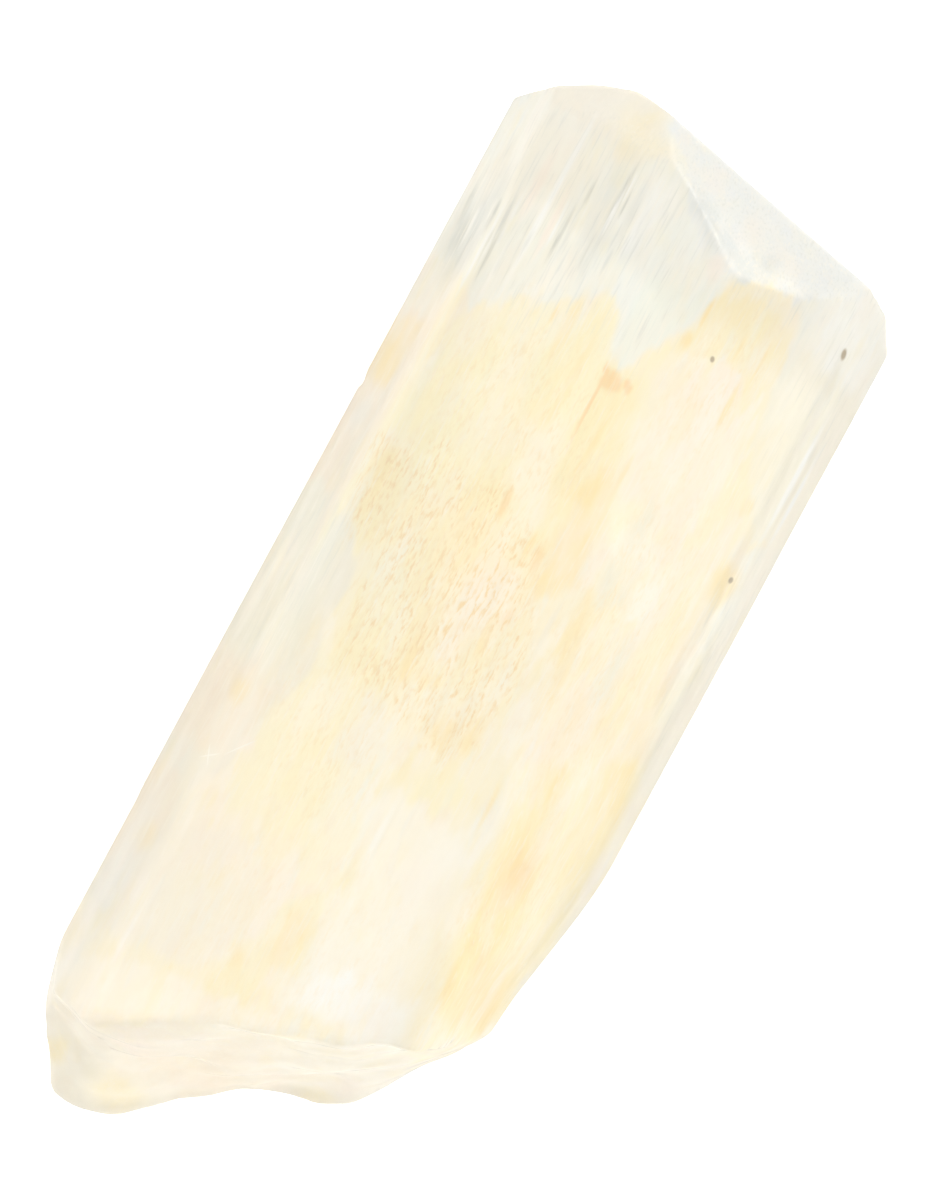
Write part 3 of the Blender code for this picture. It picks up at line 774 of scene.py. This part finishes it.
def upper_height(y):
    """Height of the prism's upper faces near the break."""
    start = np.array(BASE_X)
    upper = [edge_point(index, start) for index in range(EDGE_NAMES.index("right_edge"), -1, -1)]
    return np.interp(y, [point[0] for point in upper], [point[1] for point in upper])


def point_noise(*coordinates):
    """Blender's own noise at each point of some arrays, as the CAD solid has it."""
    spread = np.broadcast_arrays(*coordinates)
    flat = zip(*(array.ravel() for array in spread))
    return np.array([noise.noise(Vector(spot)) for spot in flat]).reshape(spread[0].shape)


def stair(fall, y):
    """A fall of 0 to 1 taken in slanting ledges, each a steep riser and a flatter tread."""
    level = fall * STAIRS + y * STAIR_SLANT + point_noise(y / LUMP_SIZE, fall, 6.0)
    tread = np.floor(level) + smooth(STAIR_TREAD, 1.0, level - np.floor(level))
    return fall + STAIR_WORN * (tread - level) / STAIRS


def chipping(y, z):
    """Fine shell-shaped chips and grit of the break: how far they are cut in."""
    spots = np.stack((y / CHIP_ACROSS + 0.5 * z, z / CHIP_UP, np.zeros_like(y)), axis=-1)
    shells = 1.0 - np.abs(rough_noise(spots, 31))
    grit = rough_noise(np.stack((y, z, np.zeros_like(y)), axis=-1) / GRIT_SIZE, 35, 2)
    return CHIP_DEPTH * shells * shells + GRIT_DEPTH * (grit + 1.0)


def break_x(y, z):
    """x of the break's surface: it slopes out from the upper faces to its reach, then back under."""
    fall = (upper_height(y) - z) / (upper_height(y) - BREAK_REACH_Z)
    upper = np.interp(y, BREAK_Y, BREAK_UPPER_X)
    reach = np.interp(y, BREAK_Y, BREAK_REACH_X)
    x = upper + (reach - upper) * np.clip(stair(fall, y), 0.0, 1.0)
    x += BREAK_UNDERCUT * np.maximum(0.0, 1.0 - z / BREAK_REACH_Z)
    lumps = point_noise(y / LUMP_SIZE, z / LUMP_SIZE, 3.0 / LUMP_SIZE)
    hackles = point_noise(y / HACKLE_ACROSS, z / HACKLE_UP, 8.2)
    return x + LUMP_SINK + LUMP_HEIGHT * lumps + HACKLE_HEIGHT * hackles + chipping(y, z)


def break_rim(index, across):
    """x at which the break meets the prism's side, for each column of one of its faces."""
    x = np.full_like(across, BASE_X)
    for _ in range(RIM_PASSES):
        point = side_points(index, across, x)
        x = break_x(point[..., 1], point[..., 2])
    return x


def gaps(spots, outline):
    """How far each spot is from the nearest point of an outline."""
    return np.linalg.norm(spots[:, None, :] - outline[None, :, :], axis=-1).min(axis=1)


def scattered(outline, low, high, grain, seed):
    """An outline's own points, then a jittered grid of points from low to high, clear of them."""
    scatter = np.random.default_rng(seed)
    grid = np.meshgrid(*(np.arange(start, end, grain) for start, end in zip(low, high)))
    spots = np.stack(grid, axis=-1).reshape(-1, 2)
    spots += scatter.uniform(-BREAK_JITTER, BREAK_JITTER, spots.shape)
    return np.concatenate((outline, spots[gaps(spots, outline) > grain * OUTLINE_CLEAR]))


def fill(bm, rim, spots, place_of, slot):
    """Fills a rim of vertices with triangles over some spots, of which the rim's own come first.

    place_of turns an array of spots into places in space. Returns the new faces.
    """
    flat = [Vector(spot) for spot in spots]
    cut, _, triangles, origins, _, _ = geometry.delaunay_2d_cdt(
        flat, [], [list(range(len(rim)))], INNER_TRIANGLES, CUT_GAP
    )
    used = sorted({index for triangle in triangles for index in triangle})
    places = place_of(np.array([cut[index] for index in used]))
    verts = {}
    for index, place in zip(used, places):
        origin = min(origins[index], default=len(rim))
        verts[index] = rim[origin] if origin < len(rim) else bm.verts.new(place)
    faces = []
    for triangle in triangles:
        face = bm.faces.new([verts[index] for index in triangle])
        face.material_index = slot
        faces.append(face)
    return faces


def break_places(spots):
    return np.column_stack((break_x(spots[:, 0], spots[:, 1]), spots))


# --- The termination ---


def split_long(face):
    """Cuts a face's long edges into short ones, so that its outline has points all along."""
    for edge in list(face.edges):
        start = edge.verts[0]
        for left in range(int(edge.calc_length() / FACET_GRAIN), 1, -1):
            _, start = bmesh.utils.edge_split(edge, start, 1.0 / left)


def cut_termination(bm):
    """Each face of the termination cuts the prism and closes it again with one flat face."""
    for slot, corners in enumerate(TERMINATION.values(), start=1):
        a, b, c = (Vector(corner) for corner in corners)
        normal = (b - a).cross(c - a).normalized()
        if normal.dot(a - INSIDE) < 0.0:
            normal.negate()
        everything = bm.verts[:] + bm.edges[:] + bm.faces[:]
        bmesh.ops.bisect_plane(
            bm, geom=everything, dist=CUT_GAP, plane_co=a, plane_no=normal, clear_outer=True
        )
        made = bmesh.ops.edgeloop_fill(bm, edges=[edge for edge in bm.edges if edge.is_boundary])
        for face in made["faces"]:
            face.material_index = slot
    bmesh.ops.remove_doubles(bm, verts=bm.verts, dist=MERGE_GAP)


def facet_relief(name, places, inset):
    """How far a termination face is cut in at each place: faint growth hills, and pits on the cap."""
    depth = FACET_RELIEF.get(name, OTHER_FACET_RELIEF)
    hills = (rough_noise(places / 1.1, 41) - 1.0) / 2
    pits = -smooth(0.1, 0.7, lattice_noise(places / 0.33, 45)) * 0.5
    return depth * (hills + pits / 2) * smooth(0.0, EDGE_CALM, inset)


def refill_facet(bm, face, name):
    """Puts a fine mesh with low relief in the place of a termination face's one flat face."""
    rim = [loop.vert for loop in face.loops]
    normal = face.normal.normalized()
    origin = np.array(rim[0].co)
    right = normal.orthogonal().normalized()
    up = normal.cross(right)
    axes = np.array((right, up))
    outline = (np.array([vert.co for vert in rim]) - origin) @ axes.T
    slot = face.material_index
    spots = scattered(outline, outline.min(axis=0), outline.max(axis=0), FACET_GRAIN, SCATTER_SEED + slot)

    def place_of(flat):
        places = origin + flat @ axes
        return places + np.array(normal) * facet_relief(name, places, gaps(flat, outline))[:, None]

    bm.faces.remove(face)
    fill(bm, rim, spots, place_of, slot)


def refine_termination(bm):
    bm.normal_update()
    facets = [face for face in bm.faces if face.material_index > 0]
    for face in facets:
        split_long(face)
    names = list(TERMINATION)
    for face in facets:
        if len(face.verts) > 3:
            refill_facet(bm, face, names[face.material_index - 1])


# --- The whole crystal ---


def add_sides(bm):
    """The prism's side, from the break's rim to past the tip. Returns its first and last rings."""
    count = round((LOFT_END_X - BASE_X) / STATION_GAP)
    share = np.linspace(0.0, 1.0, count + 1)[:, None]
    parts = []
    for index, across in columns():
        rim = break_rim(index, across)
        x = rim * (1.0 - share) + LOFT_END_X * share
        parts.append(side_points(index, np.broadcast_to(across, x.shape), x))
    points = rounded(np.concatenate(parts, axis=1))
    rings = [[bm.verts.new(point) for point in row] for row in points]
    for ring, following in zip(rings, rings[1:]):
        for index, vert in enumerate(ring):
            bm.faces.new((vert, ring[index - 1], following[index - 1], following[index]))
    return rings[0], rings[-1]


def wear_edges(bm):
    """Rounds the sharp edges a little, as handling does."""
    bm.normal_update()
    bm.verts.index_update()
    sharp = [edge for edge in bm.edges if edge.calc_face_angle(0.0) > WORN_ANGLE]
    verts = {vert for edge in sharp for vert in edge.verts}
    near = {vert for vert in verts if vert.co.x < RIM_START_X}
    for _ in range(RIM_REACH):
        near |= {edge.other_vert(vert) for vert in near for edge in vert.link_edges}
    for worn, passes in ((verts, WEAR_PASSES), (near, RIM_WEAR_PASSES)):
        ordered = sorted(worn, key=lambda vert: vert.index)
        for _ in range(passes):
            bmesh.ops.smooth_vert(
                bm, verts=ordered, factor=0.5, use_axis_x=True, use_axis_y=True, use_axis_z=True
            )


def scoop(places):
    """Places pushed out of the scoops, which leaves small hollows in the edges."""
    for centre, radius in SCOOPS:
        away = places - np.array(centre)
        reach = np.linalg.norm(away, axis=-1, keepdims=True)
        ragged = radius * (1.0 + 0.16 * lattice_noise(places / 0.22, 51)[:, None])
        inside = reach < ragged
        places = np.where(inside, np.array(centre) + away / reach * ragged, places)
    return places


def fitted(places):
    """Places moved as the CAD solid is, and kept inside its box."""
    low, high = (np.array(corner) / MM for corner in cad_box)
    lift = (0.0, 0.0, low[2] - places[:, 2].min())
    return np.clip(places + CENTRE_SHIFT + lift, low, high)


def crystal_mesh():
    """The crystal's mesh, in metres."""
    bm = bmesh.new()
    rim, far_ring = add_sides(bm)
    bm.faces.new(far_ring)
    outline = np.array([vert.co for vert in rim])[:, 1:]
    low, high = (min(BREAK_Y), 0.0), (max(BREAK_Y), outline[:, 1].max())
    fill(bm, rim, scattered(outline, low, high, BREAK_GRAIN, SCATTER_SEED), break_places, 0)
    cut_termination(bm)
    refine_termination(bm)
    wear_edges(bm)
    bmesh.ops.recalc_face_normals(bm, faces=bm.faces)
    places = scoop(np.array([vert.co for vert in bm.verts]))
    for vert, place in zip(bm.verts, fitted(places)):
        vert.co = place * MM
    for face in bm.faces:
        face.material_index = 0
        face.smooth = True
    mesh = bpy.data.meshes.new("crystal")
    bm.to_mesh(mesh)
    bm.free()
    mesh.set_sharp_from_angle(angle=SHARP_ANGLE)
    return mesh


# --- Stains, with some painted light and shade ---


def surface_colour(name):
    """A named colour as a linear reflectance, so that the lights show it as it is named."""
    srgb = np.array(COLOURS[name]) / 255
    linear = np.where(srgb <= 0.04045, srgb / 12.92, ((srgb + 0.055) / 1.055) ** 2.4)
    return np.minimum(linear**STAIN_DEPTH / LIGHT_LEVEL, 1.0)


def blend(colour, name, share):
    """Colours with a named colour laid over each, by its share."""
    return colour + (surface_colour(name) - colour) * np.clip(share, 0.0, 1.0)[:, None]


def oval(spots, x, y, length, width, edge=0.5, turn=0):
    """1 inside an oval, 0 outside it, with a soft edge."""
    cosine, sine = math.cos(math.radians(turn)), math.sin(math.radians(turn))
    away = spots - np.array((x, y))
    along = (away[:, 0] * cosine + away[:, 1] * sine) * 2 / length
    aside = (away[:, 1] * cosine - away[:, 0] * sine) * 2 / width
    return smooth(1.0 + edge, 1.0 - edge, np.hypot(along, aside))


def strongest(spots, stretches, edge):
    """The strongest of some oval stretches at each spot, from 0 to 1."""
    total = np.zeros(len(spots))
    for x, y, length, width, strength in stretches:
        total = np.maximum(total, strength * oval(spots, x, y, length, width, edge))
    return total


def zone_depth(spots, outline):
    """How far inside a closed outline each spot is, and as a negative number how far outside."""
    corners = np.array(outline)
    far = np.full(len(spots), np.inf)
    inside = np.zeros(len(spots), dtype=bool)
    for start, end in zip(corners, np.roll(corners, -1, axis=0)):
        run, away = end - start, spots - start
        share = np.clip(away @ run / (run @ run), 0.0, 1.0)[:, None]
        far = np.minimum(far, np.linalg.norm(away - share * run, axis=1))
        spans = (start[1] > spots[:, 1]) != (end[1] > spots[:, 1])
        inside ^= spans & (away[:, 0] < away[:, 1] * run[0] / (run[1] or 1.0))
    return np.where(inside, far, -far)


def ragged(places, along, across, seed):
    """Places seen from above, strayed so that what is laid on them gets ragged, fingered edges."""
    fingers = rough_noise(stretched(places, 2.6, 0.55), seed)
    wander = rough_noise(stretched(places, 1.5, 1.1), seed + 5)
    return places[:, :2] + np.stack((along * fingers + 0.3 * wander, across * wander), axis=-1)


def mottled(places, colour, strength=1.0):
    """Colours with the crystal's cloudy mottling laid over them."""
    for seed, (name, along, across, low, share) in enumerate(MOTTLES, start=101):
        cloud = rough_noise(stretched(places, along, across), seed, 4)
        colour = blend(colour, name, smooth(low, low + 0.5, cloud) * share * strength)
    return colour


def stained(places):
    """Colour of the surface at each place, as stained patches and some patches of painted light and shade
    laid over each other.
    """
    colour = mottled(places, np.tile(surface_colour("cream"), (len(places), 1)))
    spots = ragged(places, *ZONE_FRAY)
    wash = WASH_LEVEL + WASH_VARIES * rough_noise(stretched(places, *WASH_SIZE), 71, 4)
    for name, strength, soft, outline in STAIN_AND_PAINTED_LIGHT_ZONES:
        share = strength * wash * smooth(-soft, soft, zone_depth(spots, outline))
        colour = blend(colour, name, share)
    spots = ragged(places, *PATCH_FRAY)
    for name, x, y, length, width, strength, *shape in PATCHES:
        share = strength * wash * oval(spots, x, y, length, width, *shape)
        colour = blend(colour, name, share)
    spots = ragged(places, *STREAK_FRAY)
    for name, x, y, length, width, strength in STAIN_AND_PAINTED_LIGHT_STREAKS:
        colour = blend(colour, name, strength * oval(spots, x, y, length, width, STREAK_EDGE))
    return mottled(places, colour, TOP_MOTTLE)


def underside(places):
    """Colour of the parts that face down: the same stains, in streaks of no special pattern, darkened as
    painted shade.
    """
    colour = mottled(places, np.tile(surface_colour("cream"), (len(places), 1)))
    for seed, name in enumerate(("olive", "tan", "pale", "yellow", "grey", "white"), start=91):
        share = smooth(0.0, 0.6, rough_noise(stretched(places, *UNDERSIDE_STREAK), seed)) * 0.9
        colour = blend(colour, name, share)
    # Painted shade: darkened against the floor's strong light.
    return mottled(places, colour, TOP_MOTTLE) * UNDERSIDE_PAINTED_SHADE


def clearness(places):
    """How smooth and clear the surface is, from 0 to 1."""
    return strongest(ragged(places, *CLEAR_FRAY), CLEAR, CLEAR_EDGE)


def frostiness(places, clear):
    """Roughness of the surface: smooth where it is clear, matt where it is etched."""
    cloud = rough_noise(stretched(places, 1.1, 0.3), 111)
    return FROSTED + (POLISHED - FROSTED) * clear + FROST_VARIES * cloud


def store(mesh, name, values):
    """Keeps values on a mesh's points for its material to read."""
    kind, part = ("FLOAT", "value") if values.ndim == 1 else ("FLOAT_VECTOR", "vector")
    mesh.attributes.new(name, kind, "POINT").data.foreach_set(part, values.astype(np.float32).ravel())


def lay_stains_and_painted_light(mesh):
    flat = np.empty(len(mesh.vertices) * 3, dtype=np.float32)
    mesh.vertices.foreach_get("co", flat)
    places = flat.reshape(-1, 3).astype(float) / MM - CENTRE_SHIFT
    further = BREAK_STAINED * smooth(*BREAK_STAINED_X, places[:, 0])
    upper = smooth(UNDERSIDE_LOW, UNDERSIDE_TOP, places[:, 2] + further)
    colour = underside(places)
    clear = clearness(places) * upper
    # The stain attribute holds the stains together with the painted light and shade laid among them.
    store(mesh, "stain", colour + (stained(places) - colour) * upper[:, None])
    store(mesh, "etch", etched(places) * upper)
    store(mesh, "clear", clear)
    store(mesh, "frost", frostiness(places, clear))


# --- The material ---


class Graph:
    """A material's nodes, made one at a time and joined as they are made."""

    def __init__(self, tree):
        self.tree = tree

    def feed(self, node, inputs):
        """Sets a node's inputs. Each is a number, a colour or the socket to join to it."""
        for key, value in dict(inputs).items():
            if isinstance(value, bpy.types.NodeSocket):
                self.tree.links.new(value, node.inputs[key])
            else:
                node.inputs[key].default_value = value

    def add(self, kind, inputs=(), **settings):
        """A new node, with its inputs and settings."""
        made = self.tree.nodes.new("ShaderNode" + kind)
        for name, value in settings.items():
            setattr(made, name, value)
        self.feed(made, inputs)
        return made

    def number(self, operation, *values):
        return self.add("Math", enumerate(values), operation=operation).outputs[0]

    def map(self, value, low, high, to_low=0.0, to_high=1.0):
        """A value between low and high taken smoothly to the range from to_low to to_high."""
        inputs = {0: value, 1: low, 2: high, 3: to_low, 4: to_high}
        return self.add("MapRange", inputs, interpolation_type="SMOOTHSTEP").outputs[0]

    def mix(self, share, below, above):
        """One colour laid over another."""
        return self.add("Mix", {0: share, 6: below, 7: above}, data_type="RGBA").outputs[2]

    def noise(self, place, along, across, detail=1.0):
        """Noise with bumps of these sizes, in millimetres along the crystal and across it."""
        size = (1.0 / along, 1.0 / across, 1.0 / across)
        scaled = self.add("VectorMath", {0: place, 1: size}, operation="MULTIPLY").outputs[0]
        return self.add("TexNoise", {"Vector": scaled, "Scale": 1.0, "Detail": detail}).outputs["Fac"]

    def attribute(self, name, output="Fac"):
        return self.add("Attribute", attribute_name=name).outputs[output]


def rgba(name):
    return (*surface_colour(name), 1.0)


def mark(graph, place, x, y, length, width, turn):
    """1 inside a small oval mark, 0 outside it, over the crystal seen from above."""
    turned = {"Vector": place, "Location": (x, y, 0.0), "Rotation": (0.0, 0.0, math.radians(turn))}
    turned["Scale"] = (length / 2, width / 2, 1.0)
    away = graph.add("Mapping", turned, vector_type="TEXTURE").outputs[0]
    flat = graph.add("VectorMath", {0: away, 1: (1.0, 1.0, 0.0)}, operation="MULTIPLY").outputs[0]
    reach = graph.add("VectorMath", {0: flat}, operation="LENGTH").outputs["Value"]
    return graph.map(reach, 0.5, 1.3, 1.0, 0.0)


def crystal_colour(graph, place):
    """The stain laid on the mesh, with streaks and stippled iron stain finer than the mesh; the dark
    streaks are painted shade where the crystal is clear.
    """
    # The stain attribute read here holds the stains together with painted light and shade.
    colour = graph.attribute("stain", "Vector")
    etch = graph.attribute("etch")
    clear = graph.attribute("clear")
    fine = graph.noise(place, *FINE_STREAK)
    streaks = graph.map(fine, 0.52, 0.78)
    # Painted shade: the dark streaks are strong where the crystal is clear, standing in for the shade of
    # its striations, and faint elsewhere.
    dark = graph.number("MULTIPLY", streaks, graph.number("MULTIPLY_ADD", clear, 0.40, 0.05))
    colour = graph.mix(dark, colour, rgba("dark"))
    colour = graph.mix(graph.map(fine, 0.46, 0.24, 0.0, 0.4), colour, rgba("pale"))
    flecks = graph.map(graph.noise(place, *FLECK, 2.0), 0.43, 0.72)
    rows = graph.map(graph.noise(place, *FLECK_ROW), 0.36, 0.62, 0.35, 1.1)
    share = graph.number("MULTIPLY", graph.number("MULTIPLY", flecks, rows), etch)
    return graph.mix(share, colour, rgba("fleck"))


def marked(graph, place, colour):
    """Specks of dirt and hairline scratches, laid over a colour on the crystal's upper side."""
    height = graph.add("SeparateXYZ", {0: place}).outputs["Z"]
    top = graph.map(height, UNDERSIDE_LOW, UNDERSIDE_TOP)
    marks = [(*speck, SPECK_COLOUR) for speck in SPECKS]
    marks += [(x, y, length, SCRATCH_WIDTH, turn, SCRATCH_COLOUR) for x, y, length, turn in SCRATCHES]
    for x, y, length, width, turn, laid in marks:
        share = graph.number("MULTIPLY", mark(graph, place, x, y, length, width, turn), top)
        colour = graph.mix(share, colour, laid)
    return colour


def new_material(name):
    material = bpy.data.materials.new(name)
    material.use_nodes = True
    return material, Graph(material.node_tree), material.node_tree.nodes["Principled BSDF"]


def crystal_material():
    """Cloudy danburite: clear in itself, frosted where it is etched, stained by iron."""
    material, graph, shader = new_material("crystal")
    metres = graph.add("TexCoord").outputs["Object"]
    scaled = graph.add("VectorMath", {0: metres, "Scale": 1.0 / MM}, operation="SCALE").outputs[0]
    place = graph.add("VectorMath", {0: scaled, 1: CENTRE_SHIFT}, operation="SUBTRACT").outputs[0]
    colour = marked(graph, place, crystal_colour(graph, place))
    graph.feed(shader, {"Base Color": colour, "Roughness": graph.attribute("frost"), "Metallic": 0.0})
    graph.feed(shader, {"IOR": IOR, "Transmission Weight": SEE_THROUGH})
    inner = graph.add("VolumeAbsorption", ABSORBED).outputs[0]
    graph.feed(graph.tree.nodes["Material Output"], {"Volume": inner})
    material.cycles.homogeneous_volume = True
    return material


def floor_material():
    """A pale studio table, lit a little from below."""
    material, graph, shader = new_material("floor")
    graph.feed(shader, {"Base Color": FLOOR_COLOUR, "Roughness": FLOOR_ROUGHNESS})
    graph.feed(shader, {"Emission Color": WHITE, "Emission Strength": FLOOR_GLOW})
    return material


# --- The scene ---


def link(name, data):
    made = bpy.data.objects.new(name, data)
    bpy.context.scene.collection.objects.link(made)
    return made


def make_crystal():
    mesh = crystal_mesh()
    lay_stains_and_painted_light(mesh)
    mesh.materials.append(crystal_material())
    crystal = link("crystal", mesh)
    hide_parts("danburite_crystal")
    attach(crystal, "root")


def make_floor():
    half = FLOOR_SIZE / 2
    corners = [(-half, -half, 0.0), (half, -half, 0.0), (half, half, 0.0), (-half, half, 0.0)]
    mesh = bpy.data.meshes.new("floor")
    mesh.from_pydata(corners, [], [(0, 1, 2, 3)])
    mesh.materials.append(floor_material())
    floor = link("floor", mesh)
    floor.location.z = -FLOOR_GAP


def make_light():
    world = bpy.data.worlds.new("studio")
    world.use_nodes = True
    sky = world.node_tree.nodes["Background"]
    Graph(world.node_tree).feed(sky, {"Color": WHITE, "Strength": WORLD_STRENGTH})
    lamp = bpy.data.lights.new("key", "AREA")
    lamp.size = KEY_SIZE
    lamp.energy = KEY_WATTS
    key = link("key", lamp)
    key.location = KEY_PLACE
    key.rotation_euler = (-Vector(KEY_PLACE)).to_track_quat("-Z", "Y").to_euler()
    scene = bpy.context.scene
    scene.world = world
    scene.view_settings.view_transform = "Standard"
    scene.cycles.diffuse_bounces = INNER_BOUNCES
    scene.cycles.glossy_bounces = INNER_BOUNCES
    scene.cycles.use_light_tree = False  # with one lamp the picture is the same, and sooner


def make_camera():
    """The camera looks straight down, from where the crystal's outline spans the picture as shot."""
    camera = link("camera", bpy.data.cameras.new("camera"))
    camera.data.lens = LENS
    camera.data.sensor_width = SENSOR
    height = OUTLINE_Z + VIEW_HEIGHT * LENS / SENSOR
    camera.location = Vector((*VIEW_CENTRE, height)) * MM
    camera.rotation_euler = (0.0, 0.0, VIEW_TURN)
    bpy.context.scene.camera = camera


make_crystal()
make_floor()
make_light()
make_camera()

bpy.context.view_layer.update()
